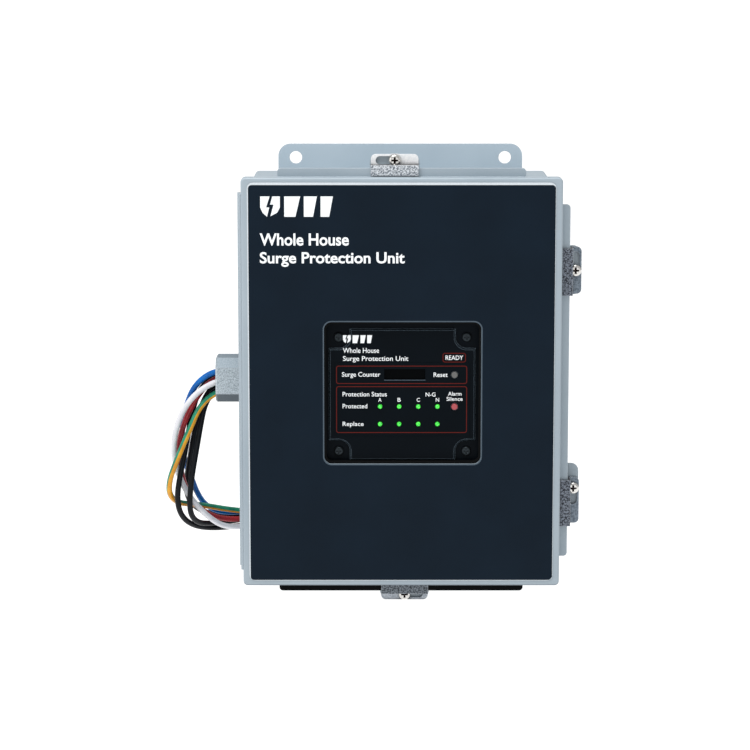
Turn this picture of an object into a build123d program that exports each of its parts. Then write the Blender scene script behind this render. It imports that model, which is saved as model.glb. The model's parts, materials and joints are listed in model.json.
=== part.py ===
"""Wall-mounted surge protective device in a hinged, clamp-cover steel enclosure.

Frame, in millimetres: the origin is the centre of the four wall-mounting holes, on the
mounting plane. +X is to the right, +Y goes into the wall and +Z is up, so the cover faces -Y.
"""

from build123d import *
from math import cos, pi, radians, sin, sqrt, tan
import os

os.makedirs("parts", exist_ok=True)

# ---- driving dimensions ---------------------------------------------------------------
SHEET = 1.5                     # steel sheet of the body and the cover
HEAVY_SHEET = 1.9               # feet and clamp brackets
GAP = 0.3                       # between pieces that move apart

BODY_WIDTH = 203.2              # eight-inch body
BODY_HEIGHT = 265.8
BODY_DEPTH = 107.5
BODY_CORNER = 3.0

FOOT_WIDTH = 170.5
FOOT_REACH = 19.05
FOOT_CORNER = 8.5
FOOT_HOLE = 8.7                 # diameter
FOOT_HOLES_APART = 146.05

COVER_WIDTH = 213.0
COVER_HEIGHT = 275.6
COVER_FRONT = -113.6
COVER_DEPTH = 11.0
COVER_CORNER = 3.0
COVER_EDGE = 1.2                # bend radius of the front edges
LIP_REACH = 5.7
LIP_WIDTH = 165.0               # top and bottom lips
LIP_HEIGHT = 238.8              # right-hand lip
LIP_CORNER = 2.5

LABEL_WIDTH = 204.3
LABEL_HEIGHT = 269.0
LABEL_CENTRE = (-0.2, 0.3)
LABEL_CORNER = 4.0
FILM = 0.3

WINDOW_WIDTH = 104.8
WINDOW_HEIGHT = 96.0
WINDOW_CENTRE = (0.7, -6.2)
WINDOW_CORNER = 5.0

HINGE_X = -106.9
HINGE_Y = -98.5
HINGE_LENGTH = 254.0
HINGE_SHEET = 1.4
KNUCKLE_RADIUS = 2.5
HINGE_PIN_RADIUS = 1.25
KNUCKLES = 20

CLAMP_LENGTH = 31.75
CLAMP_SHEET = 1.6
CLAMP_OUTER = FOOT_REACH - (COVER_HEIGHT - BODY_HEIGHT) / 2   # level with the foot's edge
CLAMP_PLATE_FRONT = -94.6
CLAMP_SCREW_OUT = 10.0          # screw axis to the cover's side wall
CLAMP_TRAVEL = 9.8
CLAMP_SHANK = 2.4               # radius, number 10 screw
CLAMP_HEAD = 4.0                # radius
BRACKET_LENGTH = 33.0

HUB_Y = -52.0
HUB_Z = -5.5
HUB_ACROSS = 30.6
HUB_REACH = 25.3
HUB_THROAT = 10.4               # radius
HUB_MOUTH = 12.9                # radius of the threaded mouth
HUB_NECK = 13.2                 # radius of the neck through the wall

MODULE_CENTRE = (0.5, -8.0)
MODULE_WIDTH = 112.0
MODULE_HEIGHT = 103.0
MODULE_WALL = 2.5
MODULE_REAR = -14.0
MODULE_FLANGE = -104.0          # front rim of the housing
PANEL_WIDTH = 97.8              # raised display panel
PANEL_HEIGHT = 88.8
PANEL_FACE = -108.5
PANEL_SCREWS_X = 85.6
PANEL_SCREWS_Z = 77.4
PANEL_SCREW_CENTRE = (0.8, -7.9)

BUTTON_X = 35.5
RESET_Z = 5.6
ALARM_Z = -16.0
BUTTON_RADIUS = 2.1
LED_COLUMNS = (-14.3, -1.5, 11.3, 24.1)
LED_ROWS = (-16.0, -27.9)
LED_RADIUS = 1.5
COUNTER_BOX = (-11.5, 15.9, 2.1, 9.4)     # left, right, bottom, top

WIRE_RADIUS = 2.0
COIL_CENTRE = (-30.0, 73.0)     # X and Y
COIL_RADIUS = 52.0              # middle of the turns
COIL_WIDTH = 17.8
COIL_HEIGHT = 15.9
TIE = 1.0                       # thickness of the ties that hold the coil

FLOOR = -BODY_HEIGHT / 2 - FOOT_REACH     # the foot's lower edge
BODY_FRONT = -BODY_DEPTH
BODY_SIDE = BODY_WIDTH / 2
COVER_SIDE = COVER_WIDTH / 2
COVER_REAR = COVER_FRONT + COVER_DEPTH


# ---- helpers --------------------------------------------------------------------------
def facing(y):
    """The plane at depth y that looks out of the cover, with X to the right and Z up."""
    return Plane.XZ.offset(-y)


def save(builder, name):
    """Labels a finished piece and writes its STEP file."""
    builder.part.label = name
    export_step(builder.part, f"parts/{name}.step")


def rounded_plate(back, front, width, height, corner, centre=(0, 0)):
    """Adds a rounded rectangular plate between two depths to the current part."""
    with BuildSketch(facing(back)) as outline:
        with Locations(centre):
            RectangleRounded(width, height, corner)
    extrude(outline.sketch, amount=back - front)


def rounded_cut(back, front, width, height, corner, centre=(0, 0)):
    """Cuts a rounded rectangular hole between two depths from the current part."""
    with BuildSketch(facing(back)) as outline:
        with Locations(centre):
            RectangleRounded(width, height, corner)
    extrude(outline.sketch, amount=back - front, mode=Mode.SUBTRACT)


def discs(back, front, radius, places, mode=Mode.ADD):
    """Adds or cuts a round disc at each place, between two depths."""
    with BuildSketch(facing(back)) as outline:
        with Locations(*places):
            Circle(radius)
    extrude(outline.sketch, amount=back - front, mode=mode)


def pan_head_screw(seat, tip, shank, head, height, places):
    """Adds cross-recess pan head screws that point into the wall."""
    discs(tip, seat, shank, places)
    discs(seat, seat - height, head, places)
    top = new_edges_at(seat - height)
    fillet(top, height * 0.6)
    with BuildSketch(facing(seat - height * 0.35)) as recess:
        with Locations(*places):
            Rectangle(head * 1.15, head * 0.34)
            Rectangle(head * 0.34, head * 1.15)
    extrude(recess.sketch, amount=height, mode=Mode.SUBTRACT)


def new_edges_at(depth):
    """The round edges of the current part that lie at one depth."""
    edges = BuildPart._get_context().edges().filter_by(GeomType.CIRCLE)
    return edges.filter_by(lambda edge: abs(edge.center().Y - depth) < 0.01)


# ---- enclosure body and what is welded to it -------------------------------------------
with BuildPart() as enclosure_body:
    rounded_plate(0, BODY_FRONT, BODY_WIDTH, BODY_HEIGHT, BODY_CORNER)
    offset(amount=-SHEET, openings=enclosure_body.faces().sort_by(Axis.Y)[0])
    with Locations((-BODY_SIDE, HUB_Y, HUB_Z)):
        Cylinder(HUB_NECK + 0.2, 6 * SHEET, rotation=(0, 90, 0), mode=Mode.SUBTRACT)
save(enclosure_body, "enclosure_body")

for foot_name, side in (("mounting_foot_top", 1), ("mounting_foot_bottom", -1)):
    edge = BODY_HEIGHT / 2
    with BuildPart() as mounting_foot:
        with BuildSketch(facing(0)):
            with Locations((0, side * (edge + FOOT_REACH / 2))):
                Rectangle(FOOT_WIDTH, FOOT_REACH)
            outer_corners = vertices().group_by(Axis.Y)[-1 if side > 0 else 0]
            fillet(outer_corners, FOOT_CORNER)
            with Locations((0, side * (edge + FOOT_REACH / 2))):
                with GridLocations(FOOT_HOLES_APART, 1, 2, 1):
                    Circle(FOOT_HOLE / 2, mode=Mode.SUBTRACT)
        extrude(amount=HEAVY_SHEET)
    save(mounting_foot, foot_name)

# ---- continuous hinge -------------------------------------------------------------------
KNUCKLE_PITCH = HINGE_LENGTH / KNUCKLES
KNUCKLE_LENGTH = KNUCKLE_PITCH - GAP


def knuckle_heights(first):
    """The lower end of every second knuckle, from the first one given."""
    return [-HINGE_LENGTH / 2 + GAP / 2 + KNUCKLE_PITCH * n for n in range(first, KNUCKLES, 2)]


with BuildPart() as hinge_leaf_body:
    leaf_back = HINGE_Y + KNUCKLE_RADIUS
    with BuildSketch(Plane.XY.offset(-HINGE_LENGTH / 2)):
        with Locations((-BODY_SIDE - HINGE_SHEET, leaf_back - HINGE_SHEET)):
            Rectangle(HINGE_SHEET, 13.4, align=(Align.MIN, Align.MIN))
    extrude(amount=HINGE_LENGTH)
    for height in knuckle_heights(0):
        with BuildSketch(Plane.XY.offset(height)):
            with Locations((HINGE_X, HINGE_Y)):
                Circle(KNUCKLE_RADIUS)
            with Locations((HINGE_X, leaf_back)):
                Rectangle(-BODY_SIDE - HINGE_X, HINGE_SHEET, align=(Align.MIN, Align.MAX))
            with Locations((HINGE_X, HINGE_Y)):
                Circle(HINGE_PIN_RADIUS, mode=Mode.SUBTRACT)
        extrude(amount=KNUCKLE_LENGTH)
save(hinge_leaf_body, "hinge_leaf_body")

with BuildPart() as hinge_leaf_cover:
    leaf_rear = HINGE_Y - KNUCKLE_RADIUS - GAP - 0.05
    with BuildSketch(Plane.XY.offset(-HINGE_LENGTH / 2)):
        with Locations((-COVER_SIDE, leaf_rear)):
            Rectangle(HINGE_SHEET, leaf_rear - COVER_FRONT - 0.8, align=(Align.MAX, Align.MAX))
    extrude(amount=HINGE_LENGTH)
    for height in knuckle_heights(1):
        with BuildSketch(Plane.XY.offset(height)):
            with Locations((HINGE_X, HINGE_Y)):
                Circle(KNUCKLE_RADIUS)
            with Locations((-COVER_SIDE, HINGE_Y)):
                Rectangle(HINGE_SHEET, HINGE_Y - leaf_rear, align=(Align.MAX, Align.MAX))
            with Locations((HINGE_X, HINGE_Y)):
                Circle(HINGE_PIN_RADIUS + 0.05, mode=Mode.SUBTRACT)
        extrude(amount=KNUCKLE_LENGTH)
save(hinge_leaf_cover, "hinge_leaf_cover")

with BuildPart() as hinge_pin:
    with Locations((HINGE_X, HINGE_Y, 0)):
        Cylinder(HINGE_PIN_RADIUS, HINGE_LENGTH)
save(hinge_pin, "hinge_pin")

# ---- cover, its label and its gaskets ---------------------------------------------------
with BuildPart() as cover:
    rounded_plate(COVER_REAR, COVER_FRONT, COVER_WIDTH, COVER_HEIGHT, COVER_CORNER)
    fillet(cover.faces().sort_by(Axis.Y)[0].edges(), COVER_EDGE)
    offset(amount=-SHEET, openings=cover.faces().sort_by(Axis.Y)[-1])
    with BuildSketch(facing(COVER_REAR)):
        for side in (1, -1):
            with Locations((0, side * (COVER_HEIGHT / 2 - SHEET / 2 + LIP_REACH / 2))):
                RectangleRounded(LIP_WIDTH, LIP_REACH + SHEET, LIP_CORNER)
        with Locations((COVER_SIDE - SHEET / 2 + LIP_REACH / 2, 0)):
            RectangleRounded(LIP_REACH + SHEET, LIP_HEIGHT, LIP_CORNER)
        with Locations((0, 0)):
            Rectangle(COVER_WIDTH - 2 * SHEET, COVER_HEIGHT - 2 * SHEET, mode=Mode.SUBTRACT)
    extrude(amount=SHEET)
    rounded_cut(COVER_REAR, COVER_FRONT, WINDOW_WIDTH, WINDOW_HEIGHT, WINDOW_CORNER, WINDOW_CENTRE)
save(cover, "cover")

with BuildPart() as cover_label:
    rounded_plate(COVER_FRONT, COVER_FRONT - FILM, LABEL_WIDTH, LABEL_HEIGHT, LABEL_CORNER, LABEL_CENTRE)
    rounded_cut(COVER_FRONT, COVER_FRONT - FILM, WINDOW_WIDTH + 1.6, WINDOW_HEIGHT + 1.6,
                WINDOW_CORNER + 0.8, WINDOW_CENTRE)
save(cover_label, "cover_label")

PANEL_INNER = COVER_FRONT + SHEET
with BuildPart() as cover_gasket:
    rounded_plate(BODY_FRONT - GAP, PANEL_INNER, BODY_WIDTH + 5, BODY_HEIGHT + 5, BODY_CORNER)
    rounded_cut(BODY_FRONT - GAP, PANEL_INNER, BODY_WIDTH - 12, BODY_HEIGHT - 12, BODY_CORNER)
save(cover_gasket, "cover_gasket")

with BuildPart() as window_gasket:
    rounded_plate(-106.3, PANEL_INNER, 118.0, 109.0, 8.0, WINDOW_CENTRE)
    rounded_cut(-106.3, PANEL_INNER, 102.0, 93.2, 4.0, WINDOW_CENTRE)
save(window_gasket, "window_gasket")

# ---- cover clamps -----------------------------------------------------------------------
# Each clamp works in its own plane: x along the box's edge, towards the open end of the
# slot, y outwards from the cover's side wall, and z towards the viewer.
CLAMPS = {
    "top": {"screw": (-4.6, COVER_HEIGHT / 2), "slot": (-1, 0), "slid": 0.0},
    "bottom": {"screw": (2.4, -COVER_HEIGHT / 2), "slot": (1, 0), "slid": 0.0},
    "right_upper": {"screw": (COVER_SIDE, 74.2), "slot": (0, 1), "slid": 0.0},
    "right_lower": {"screw": (COVER_SIDE, -74.2), "slot": (0, 1), "slid": 8.5},
}
HOOK_REAR = COVER_REAR - SHEET - GAP
HOOK_FRONT = HOOK_REAR - CLAMP_SHEET
LEG_INNER = LIP_REACH + GAP
LEG_OUTER = LEG_INNER + CLAMP_SHEET


def clamp_box(clamp, along, out, depth, mode=Mode.ADD, corner=0, slid=0.0, round_ends=False):
    """Adds a block to a clamp, a bracket or their holes, from ranges along, out and in depth."""
    (x, z), (sx, sz) = clamp["screw"], clamp["slot"]
    outward = (0, 1 if z > 0 else -1) if sx else (1, 0)
    centre_along = (along[0] + along[1]) / 2 - slid
    centre_out = (out[0] + out[1]) / 2
    centre = (x + sx * centre_along + outward[0] * centre_out, z + sz * centre_along + outward[1] * centre_out)
    length, reach = along[1] - along[0], out[1] - out[0]
    size = (length, reach) if sx else (reach, length)
    with BuildSketch(facing(depth[1])) as outline:
        with Locations(centre):
            Rectangle(*size)
        if corner:
            direction = Axis.Y if sx else Axis.X
            far_side = vertices().group_by(direction)[-1 if sum(outward) > 0 else 0]
            fillet(far_side, corner)
        if round_ends:
            fillet(vertices(), min(size) / 2 - 0.05)
    extrude(outline.sketch, amount=depth[1] - depth[0], mode=mode)


def screw_place(clamp):
    """Where the clamp's screw stands, as X and Z."""
    (x, z), (sx, _) = clamp["screw"], clamp["slot"]
    if sx:
        return (x, z + (CLAMP_SCREW_OUT if z > 0 else -CLAMP_SCREW_OUT))
    return (x + CLAMP_SCREW_OUT, z)


half = CLAMP_LENGTH / 2
slot_half = CLAMP_SHANK + 0.4
plate_rear = CLAMP_PLATE_FRONT + CLAMP_SHEET
for side, clamp in CLAMPS.items():
    with BuildPart() as clamp_piece:
        clamp_box(clamp, (-half, half), (0.5, LEG_OUTER), (HOOK_FRONT, HOOK_REAR), slid=clamp["slid"])
        clamp_box(clamp, (-half, half), (LEG_INNER, LEG_OUTER), (HOOK_FRONT, plate_rear), slid=clamp["slid"])
        clamp_box(clamp, (-half, half), (LEG_INNER, CLAMP_OUTER), (CLAMP_PLATE_FRONT, plate_rear),
                  corner=3.2, slid=clamp["slid"])
        clamp_box(clamp, (-slot_half, CLAMP_TRAVEL + slot_half),
                  (CLAMP_SCREW_OUT - slot_half, CLAMP_SCREW_OUT + slot_half),
                  (CLAMP_PLATE_FRONT - 1, plate_rear + 1), mode=Mode.SUBTRACT, slid=clamp["slid"],
                  round_ends=True)
        clamp_box(clamp, (-CLAMP_HEAD - 1, CLAMP_TRAVEL + CLAMP_HEAD + 1), (LEG_INNER - 1, LEG_OUTER),
                  (CLAMP_PLATE_FRONT - 4, CLAMP_PLATE_FRONT), mode=Mode.SUBTRACT, slid=clamp["slid"])
    save(clamp_piece, f"clamp_{side}")

    with BuildPart() as clamp_screw:
        pan_head_screw(CLAMP_PLATE_FRONT - GAP, -84.0, CLAMP_SHANK, CLAMP_HEAD, 2.6, [screw_place(clamp)])
    save(clamp_screw, f"clamp_screw_{side}")

BRACKET_FRONT = plate_rear + GAP
BRACKET_BACK = BRACKET_FRONT + HEAVY_SHEET
body_out = -(COVER_HEIGHT - BODY_HEIGHT) / 2
with BuildPart() as clamp_brackets:
    for clamp in CLAMPS.values():
        reach = (-BRACKET_LENGTH / 2, BRACKET_LENGTH / 2)
        clamp_box(clamp, reach, (body_out, CLAMP_OUTER - 0.4), (BRACKET_FRONT, BRACKET_BACK), corner=5.0)
        clamp_box(clamp, reach, (body_out, body_out + HEAVY_SHEET), (BRACKET_FRONT, BRACKET_BACK + 10))
    discs(BRACKET_BACK + 1, BRACKET_FRONT - 1, CLAMP_SHANK + 0.2,
          [screw_place(clamp) for clamp in CLAMPS.values()], mode=Mode.SUBTRACT)
save(clamp_brackets, "clamp_brackets")

with BuildPart() as weld_nuts:
    with BuildSketch(facing(BRACKET_BACK + 4)):
        with Locations(*[screw_place(clamp) for clamp in CLAMPS.values()]):
            RegularPolygon(4.0, 6, major_radius=False)
            Circle(CLAMP_SHANK + 0.05, mode=Mode.SUBTRACT)
    extrude(amount=4)
save(weld_nuts, "weld_nuts")

# ---- back plate, ground stud and fasteners ------------------------------------------------
PLATE_FRONT = -12.0
stud_grid = [(x, z) for x in (-78, 78) for z in (-108, 108)]
with BuildPart() as panel_studs:
    discs(-SHEET, PLATE_FRONT - 7, 2.4, stud_grid)
    discs(-SHEET, PLATE_FRONT + 2, 5.0, stud_grid)
save(panel_studs, "panel_studs")

with BuildPart() as backplate:
    rounded_plate(PLATE_FRONT + 2, PLATE_FRONT, 172.0, 232.0, 6.0)
    discs(PLATE_FRONT + 2, PLATE_FRONT, 2.7, stud_grid, mode=Mode.SUBTRACT)
save(backplate, "backplate")

with BuildPart() as backplate_nuts:
    with BuildSketch(facing(PLATE_FRONT)):
        with Locations(*stud_grid):
            RegularPolygon(4.75, 6, major_radius=False)
            Circle(2.4, mode=Mode.SUBTRACT)
    extrude(amount=3.6)
save(backplate_nuts, "backplate_nuts")

ground_place = [(-60.0, -92.0)]
with BuildPart() as ground_stud:
    discs(PLATE_FRONT, PLATE_FRONT - 18, 3.2, ground_place)
save(ground_stud, "ground_stud")

with BuildPart() as ground_nut:
    with BuildSketch(facing(PLATE_FRONT - 4)):
        with Locations(*ground_place):
            RegularPolygon(5.6, 6, major_radius=False)
            Circle(3.2, mode=Mode.SUBTRACT)
    extrude(amount=5)
save(ground_nut, "ground_nut")

# ---- surge module ---------------------------------------------------------------------------
mx, mz = MODULE_CENTRE
panel_screws = [
    (PANEL_SCREW_CENTRE[0] + sx * PANEL_SCREWS_X / 2, PANEL_SCREW_CENTRE[1] + sz * PANEL_SCREWS_Z / 2)
    for sx in (-1, 1) for sz in (-1, 1)
]
buttons = [(BUTTON_X, RESET_Z), (BUTTON_X, ALARM_Z)]
leds = [(x, z) for x in LED_COLUMNS for z in LED_ROWS]
leads = {                       # where each lead lies in the hub's throat, as Y and Z
    "white": (-57.0, -5.2),
    "green": (-54.6, -13.0),
    "blue": (-55.0, 0.6),
    "red": (-51.2, -2.9),
    "black_1": (-50.4, -9.6),
    "black_2": (-47.2, -1.4),
    "black_3": (-45.4, -6.4),
}

with BuildPart() as module_housing:
    rounded_plate(MODULE_REAR + 2, MODULE_FLANGE, MODULE_WIDTH, MODULE_HEIGHT, 5.0, MODULE_CENTRE)
    offset(amount=-MODULE_WALL, openings=module_housing.faces().sort_by(Axis.Y)[0])
    discs(MODULE_REAR, MODULE_FLANGE, 5.0, panel_screws)
    discs(MODULE_FLANGE + 16, MODULE_FLANGE, 1.6, panel_screws, mode=Mode.SUBTRACT)
    with Locations((mx - MODULE_WIDTH / 2, HUB_Y, HUB_Z - 1)):
        Cylinder(11.0, 4 * MODULE_WALL, rotation=(0, 90, 0), mode=Mode.SUBTRACT)
save(module_housing, "module_housing")

with BuildPart() as lead_grommet:
    with BuildSketch(Plane.YZ.offset(mx - MODULE_WIDTH / 2 - 1.5)):
        with Locations((HUB_Y, HUB_Z - 1)):
            Circle(10.9)
        with Locations(*leads.values()):
            Circle(WIRE_RADIUS, mode=Mode.SUBTRACT)
    extrude(amount=MODULE_WALL + 3)
save(lead_grommet, "lead_grommet")

with BuildPart() as module_front:
    rounded_plate(MODULE_FLANGE, MODULE_FLANGE - 2, MODULE_WIDTH, MODULE_HEIGHT, 5.0, MODULE_CENTRE)
    with BuildSketch(facing(MODULE_FLANGE - 2)):
        with Locations(MODULE_CENTRE):
            RectangleRounded(PANEL_WIDTH, PANEL_HEIGHT, 3.0)
        with Locations(*panel_screws):
            Circle(7.6, mode=Mode.SUBTRACT)
        for x, z in panel_screws:
            sx, sz = (1 if x > mx else -1), (1 if z > mz else -1)
            with Locations((x + sx * 6, z + sz * 6)):
                Rectangle(12, 12, mode=Mode.SUBTRACT)
            with Locations((x + sx * 6, z)):
                Rectangle(12, 15.2, mode=Mode.SUBTRACT)
            with Locations((x, z + sz * 6)):
                Rectangle(15.2, 12, mode=Mode.SUBTRACT)
    extrude(amount=MODULE_FLANGE - 2 - PANEL_FACE)
    chamfer(module_front.faces().sort_by(Axis.Y)[0].outer_wire().edges(), 0.8)
    discs(MODULE_FLANGE, MODULE_FLANGE - 3, 2.0, panel_screws, mode=Mode.SUBTRACT)
    discs(MODULE_FLANGE, PANEL_FACE, BUTTON_RADIUS + GAP, buttons, mode=Mode.SUBTRACT)
    discs(MODULE_FLANGE, PANEL_FACE, LED_RADIUS + 0.1, leds, mode=Mode.SUBTRACT)
    left, right, low, high = COUNTER_BOX
    with BuildSketch(facing(PANEL_FACE + 2.4)):
        with Locations(((left + right) / 2, (low + high) / 2)):
            Rectangle(right - left, high - low)
    extrude(amount=2.4, mode=Mode.SUBTRACT)
save(module_front, "module_front")

with BuildPart() as display_overlay:
    rounded_plate(PANEL_FACE, PANEL_FACE - FILM, 90.6, 49.6, 1.0, (mx, -11.1))
    discs(PANEL_FACE, PANEL_FACE - FILM, BUTTON_RADIUS + GAP + 0.3, buttons, mode=Mode.SUBTRACT)
    discs(PANEL_FACE, PANEL_FACE - FILM, LED_RADIUS + 0.2, leds, mode=Mode.SUBTRACT)
    with BuildSketch(facing(PANEL_FACE)):
        with Locations(((left + right) / 2, (low + high) / 2)):
            Rectangle(right - left, high - low)
    extrude(amount=FILM, mode=Mode.SUBTRACT)
save(display_overlay, "display_overlay")

with BuildPart() as counter_display:
    with BuildSketch(facing(PANEL_FACE + 2.4)):
        with Locations(((left + right) / 2, (low + high) / 2)):
            Rectangle(right - left, high - low)
    extrude(amount=0.8)
save(counter_display, "counter_display")

with BuildPart() as module_screws:
    pan_head_screw(MODULE_FLANGE - 2, MODULE_FLANGE + 12, 1.6, 3.1, 2.0, panel_screws)
save(module_screws, "module_screws")

BOARD_FRONT = -97.4
with BuildPart() as control_board:
    rounded_plate(BOARD_FRONT + 1.6, BOARD_FRONT, 104.0, 95.0, 3.0, MODULE_CENTRE)
    discs(BOARD_FRONT + 1.6, BOARD_FRONT, 5.3, panel_screws, mode=Mode.SUBTRACT)
save(control_board, "control_board")

with BuildPart() as status_leds:
    discs(BOARD_FRONT, PANEL_FACE - 0.2, LED_RADIUS, leds)
    with Locations(*[(x, PANEL_FACE - 0.2, z) for x, z in leds]):
        Sphere(LED_RADIUS)
save(status_leds, "status_leds")

with BuildPart() as button_switches:
    with BuildSketch(facing(BOARD_FRONT)):
        with Locations(*buttons):
            Rectangle(6, 6)
    extrude(amount=3.5)
save(button_switches, "button_switches")

for button_name, place in (("reset_button", buttons[0]), ("alarm_button", buttons[1])):
    with BuildPart() as button:
        discs(BOARD_FRONT - 5.0, PANEL_FACE - 1.6, BUTTON_RADIUS, [place])
        fillet(new_edges_at(PANEL_FACE - 1.6), 0.5)
        discs(MODULE_FLANGE + 1.6, MODULE_FLANGE + 0.4, BUTTON_RADIUS + 1.2, [place])
    save(button, button_name)

with BuildPart() as varistor_blocks:
    with BuildSketch(facing(-24)):
        with Locations(MODULE_CENTRE):
            with GridLocations(44, 40, 2, 2):
                RectangleRounded(32, 29, 2)
    extrude(amount=20)
save(varistor_blocks, "varistor_blocks")

with BuildPart() as alarm_buzzer:
    discs(BOARD_FRONT + 9.6, BOARD_FRONT + 1.6, 6.0, [(34, 18)])
save(alarm_buzzer, "alarm_buzzer")

# ---- conduit hub on the left side -------------------------------------------------------------
wall = -BODY_SIDE
across = HUB_ACROSS / 2
hub_plane = Plane(origin=(wall - 1.2, HUB_Y, HUB_Z), x_dir=(0, 1, 0), z_dir=(-1, 0, 0))
with BuildPart() as conduit_hub:
    with BuildSketch(hub_plane):
        Rectangle(HUB_ACROSS, HUB_ACROSS)
        chamfer(vertices(), 6.2)
    extrude(amount=HUB_REACH - 1.2)
    chamfer(conduit_hub.faces().sort_by(Axis.X)[0].edges(), 1.0)
    with BuildSketch(hub_plane):
        Circle(HUB_NECK)
    extrude(amount=-10.2)
    with BuildSketch(hub_plane):
        Circle(HUB_THROAT)
    extrude(amount=30, both=True, mode=Mode.SUBTRACT)
    with BuildSketch(hub_plane.offset(8.0)):
        Circle(HUB_MOUTH)
    extrude(amount=30, mode=Mode.SUBTRACT)
save(conduit_hub, "conduit_hub")

with BuildPart() as hub_sealing_ring:
    with BuildSketch(hub_plane):
        Circle(HUB_NECK + 2.6)
        Circle(HUB_NECK, mode=Mode.SUBTRACT)
    extrude(amount=-1.2)
save(hub_sealing_ring, "hub_sealing_ring")

with BuildPart() as hub_locknut:
    with BuildSketch(hub_plane.offset(-1.2 - SHEET)):
        RegularPolygon(17.0, 8, major_radius=False)
        Circle(HUB_NECK, mode=Mode.SUBTRACT)
        with PolarLocations(18.4, 8):
            Rectangle(3.0, 4.0, mode=Mode.SUBTRACT)
    extrude(amount=-3.6)
save(hub_locknut, "hub_locknut")

with BuildPart() as hub_bushing:
    with BuildSketch(hub_plane.offset(-10.2)):
        Circle(HUB_NECK)
        Circle(HUB_THROAT - 0.2, mode=Mode.SUBTRACT)
    extrude(amount=-1.6)
save(hub_bushing, "hub_bushing")

# ---- leads ----------------------------------------------------------------------------------------
LEAD_START = -110.0             # inside the hub's mouth, where the free leads begin
with BuildPart() as inner_leads:
    with BuildSketch(Plane.YZ.offset(LEAD_START)):
        with Locations(*leads.values()):
            Circle(WIRE_RADIUS)
    extrude(amount=mx - MODULE_WIDTH / 2 + 8 - LEAD_START)
save(inner_leads, "inner_leads")

# The free leads leave the hub, arch down beside the box and pass behind its lower left side.
ROUTES = {
    "blue": [
        (-110.0, -55.0, 0.6), (-121.5, -55.0, 0.6), (-133.0, -54.2, -2.6), (-142.8, -50.5, -12.0),
        (-148.6, -45.5, -26.0), (-151.6, -40.0, -40.0), (-152.6, -34.0, -55.0), (-151.2, -26.8, -70.0),
        (-147.0, -17.8, -83.5), (-144.2, -9.5, -95.0), (-139.6, -1.0, -105.0), (-132.0, 6.0, -111.5),
        (-122.0, 10.8, -113.8),
    ],
    "red": [
        (-110.0, -51.2, -2.9), (-121.0, -51.4, -3.6), (-132.0, -52.0, -8.2), (-140.5, -52.2, -18.5),
        (-147.0, -50.0, -31.0), (-152.4, -45.5, -45.0), (-155.0, -39.8, -60.0), (-153.6, -33.8, -75.0),
        (-150.6, -27.8, -89.5), (-145.2, -21.8, -100.5), (-137.7, -15.5, -108.5), (-129.2, -8.5, -113.6),
        (-119.5, -0.5, -116.4),
    ],
    "white": [
        (-110.0, -57.0, -5.2), (-121.0, -57.2, -5.8), (-132.5, -57.6, -9.6), (-143.5, -57.2, -18.0),
        (-151.6, -54.8, -30.5), (-156.6, -50.5, -45.5), (-158.0, -44.8, -60.5), (-155.4, -39.8, -75.0),
        (-150.5, -35.0, -88.0), (-144.0, -30.0, -99.0), (-136.0, -24.0, -109.0), (-127.2, -15.5, -117.4),
        (-117.5, -4.8, -121.4),
    ],
    "black_1": [
        (-110.0, -50.4, -9.6), (-120.5, -50.6, -10.3), (-129.5, -51.0, -15.5), (-135.4, -51.3, -24.3),
        (-138.4, -51.2, -39.1), (-141.1, -50.0, -54.2), (-143.8, -47.8, -68.5), (-146.0, -44.2, -82.0),
        (-147.4, -39.0, -95.0), (-147.2, -32.5, -106.5), (-142.8, -23.0, -114.2), (-134.5, -10.2, -117.4),
        (-124.0, 2.4, -118.8),
    ],
    "black_2": [
        (-110.0, -47.2, -1.4), (-121.0, -47.2, -2.0), (-132.0, -47.4, -6.4), (-140.5, -47.2, -17.0),
        (-144.5, -46.2, -31.0), (-147.4, -45.6, -46.0), (-150.2, -45.2, -61.0), (-153.4, -44.0, -75.5),
        (-155.8, -40.8, -89.0), (-155.6, -35.0, -102.0), (-151.4, -26.0, -112.0), (-144.0, -15.0, -118.5),
        (-133.5, -4.0, -122.0), (-121.5, 5.5, -123.2),
    ],
    "black_3": [
        (-110.0, -45.4, -6.4), (-120.8, -45.4, -7.2), (-130.0, -45.4, -12.6), (-136.4, -44.6, -21.8),
        (-140.9, -42.6, -35.8), (-144.4, -39.0, -50.5), (-147.0, -33.5, -65.0), (-149.8, -26.5, -79.0),
        (-151.4, -17.5, -91.5), (-149.6, -7.0, -102.0), (-143.5, 2.5, -110.0), (-134.5, 10.0, -115.0),
        (-123.0, 15.0, -117.2),
    ],
    "green": [
        (-110.0, -54.6, -13.0), (-120.5, -54.7, -13.2), (-131.0, -55.3, -17.4), (-139.5, -56.3, -26.5),
        (-145.3, -56.6, -40.5), (-151.0, -55.0, -53.5), (-156.3, -52.0, -66.5), (-160.7, -47.3, -78.5),
        (-161.8, -39.5, -90.0), (-157.0, -28.5, -98.5), (-147.5, -16.5, -102.0), (-136.5, -6.0, -105.5),
        (-124.0, 1.8, -109.5),
    ],
}
BEHIND = {                      # where each lead turns in behind the box, as Y and Z
    "blue": (13.0, -113.2),
    "red": (6.0, -117.4),
    "white": (8.2, -122.4),
    "black_1": (12.0, -118.2),
    "black_2": (13.8, -123.4),
    "black_3": (18.0, -118.6),
    "green": (7.4, -112.4),
}
STRANDS = {                     # place in the coil: outwards from the middle, and above its base
    "blue": (-4.6, 6.0),
    "red": (6.9, 2.05),
    "white": (2.3, 2.05),
    "black_1": (0.0, 6.0),
    "black_2": (-2.3, 2.05),
    "black_3": (-6.9, 2.05),
    "green": (4.6, 6.0),
}
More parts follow.
